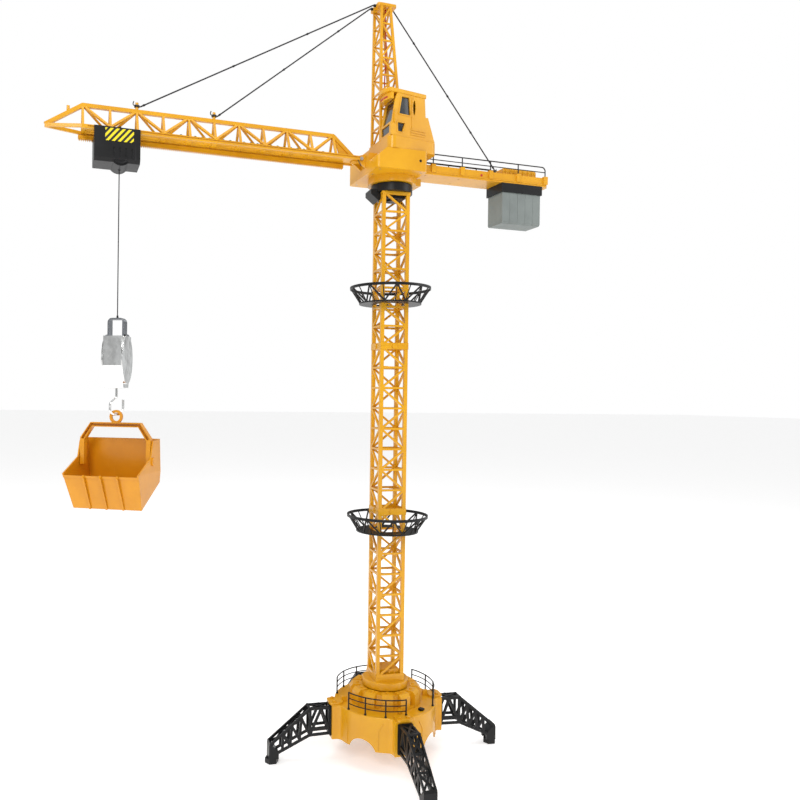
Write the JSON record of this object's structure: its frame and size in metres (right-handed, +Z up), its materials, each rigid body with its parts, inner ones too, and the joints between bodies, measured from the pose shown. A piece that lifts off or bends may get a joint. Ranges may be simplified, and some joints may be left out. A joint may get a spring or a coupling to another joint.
{
  "type": "toy tower crane",
  "caption": "Toy tower crane on a four-legged base, with a lattice mast and slewing jib, a travelling trolley, a hoist with a swivel hook, and a hanging bucket that tips.",
  "frame": {"origin": "on the floor under the mast's axis", "axes": "+Z up the mast, +X out along the jib, +Y to the side the cab is on"},
  "size_m": [0.8656, 0.4154, 1.28],
  "materials": {
    "crane_yellow": "satin moulded ABS",
    "black_plastic": "fine-textured moulded plastic",
    "slab_grey": "matt grey moulded plastic",
    "chrome": "bright plated",
    "window_pane": "polished tinted plastic",
    "lamp_clear": "frosted clear plastic",
    "steel": "bright turned",
    "gear_nylon": "natural nylon",
    "circuit_green": "solder mask",
    "motor_case": "drawn steel can",
    "battery_case": "plain sleeved cells",
    "hazard": "yellow and black diagonal stripes",
    "cord_black": "braided cord",
    "wire_black": "coated wire"
  },
  "bodies": {
    "base": {"base_housing": "crane_yellow", "batteries": "battery_case", "battery_door": "crane_yellow", "base_drum": "crane_yellow", "mast_collar": "crane_yellow", "leg_1": "black_plastic", "leg_2": "black_plastic", "leg_3": "black_plastic", "leg_4": "black_plastic", "foot_pads": "black_plastic", "base_bolts": "crane_yellow", "deck_railings": "black_plastic", "mast_lower": "crane_yellow", "mast_middle": "crane_yellow", "mast_upper": "crane_yellow", "basket_lower": "black_plastic", "basket_upper": "black_plastic", "slew_ring": "black_plastic", "slew_gear": "gear_nylon"},
    "switch": {"power_switch": "black_plastic"},
    "turntable": {"turntable_drum": "crane_yellow", "slew_spindle": "black_plastic", "turntable_housing": "crane_yellow", "slew_motor": "motor_case", "circuit_board": "circuit_green", "turntable_platform": "crane_yellow", "cab_shell": "crane_yellow", "cab_roof": "crane_yellow", "cab_windows": "window_pane", "tower_head": "crane_yellow", "head_cap": "crane_yellow", "top_lamp": "lamp_clear", "head_knobs": "black_plastic", "jib_inner": "crane_yellow", "jib_outer": "crane_yellow", "jib_rack": "crane_yellow", "jib_pin": "steel", "jib_lugs": "crane_yellow", "counter_jib": "crane_yellow", "counter_jib_cover": "crane_yellow", "ballast_holder": "black_plastic", "counterweight": "slab_grey", "ballast_box": "crane_yellow", "counter_railing": "black_plastic", "pendant_fittings": "black_plastic", "pendant_long": "cord_black", "pendant_short": "cord_black", "pendant_rear": "cord_black", "signal_coil": "wire_black"},
    "slew_pinion": {"slew_pinion": "gear_nylon"},
    "trolley": {"trolley_housing": "black_plastic", "hazard_plates": "hazard", "trolley_motors": "motor_case"},
    "travel_pinion": {"travel_pinion": "gear_nylon"},
    "winch_drum": {"winch_drum": "gear_nylon"},
    "block": {"hoist_line": "cord_black", "hook_block": "chrome"},
    "hook": {"hook": "chrome"},
    "bail": {"bucket_bail": "crane_yellow"},
    "bucket": {"bucket": "crane_yellow"}
  },
  "joints": [
    {"name": "slew", "type": "hinge", "parent": "base", "child": "turntable", "pos_m": [0, 0, 0.97], "axis": [0, 0, 1], "range_deg": [-340, 340]},
    {"name": "slew_pinion_spin", "type": "hinge", "parent": "turntable", "child": "slew_pinion", "pos_m": [-0.024, 0, 0.975], "axis": [0, 0, 1], "range_deg": [-1020, 1020]},
    {"name": "trolley_travel", "type": "slide", "parent": "turntable", "child": "trolley", "axis": [1, 0, 0], "range_m": [-0.3, 0.008]},
    {"name": "travel_pinion_spin", "type": "hinge", "parent": "trolley", "child": "travel_pinion", "pos_m": [0.478, -0.017, 0.991], "axis": [0, 1, 0], "range_deg": [-78, 2868]},
    {"name": "hoist", "type": "slide", "parent": "trolley", "child": "block", "axis": [0, 0, 1], "range_m": [-0.3, 0.21], "deforming": ["hoist_line"]},
    {"name": "winch_spin", "type": "hinge", "parent": "trolley", "child": "winch_drum", "pos_m": [0.45115, 0, 0.968], "axis": [0, 1, 0], "range_deg": [-2060, 2942]},
    {"name": "hook_swivel", "type": "hinge", "parent": "block", "child": "hook", "pos_m": [0.457, 0, 0.61], "axis": [0, 0, 1], "continuous": true},
    {"name": "bail_swing", "type": "hinge", "parent": "hook", "child": "bail", "pos_m": [0.457, 0, 0.5771], "axis": [0.9397, 0.342, 0], "range_deg": [-10, 10]},
    {"name": "bucket_tilt", "type": "hinge", "parent": "bail", "child": "bucket", "pos_m": [0.457, 0, 0.506], "axis": [-0.866, 0.5, 0], "range_deg": [-50, 25]},
    {"name": "power_slide", "type": "slide", "parent": "base", "child": "switch", "axis": [-0.866, -0.5, 0], "range_m": [-0.002, 0.002]}
  ],
  "couplings": [
    {"joint": "slew_pinion_spin", "follows": "slew", "ratio": 3},
    {"joint": "travel_pinion_spin", "follows": "trolley_travel", "rad_per_m": -166.67},
    {"joint": "winch_spin", "follows": "hoist", "rad_per_m": -170.94}
  ]
}
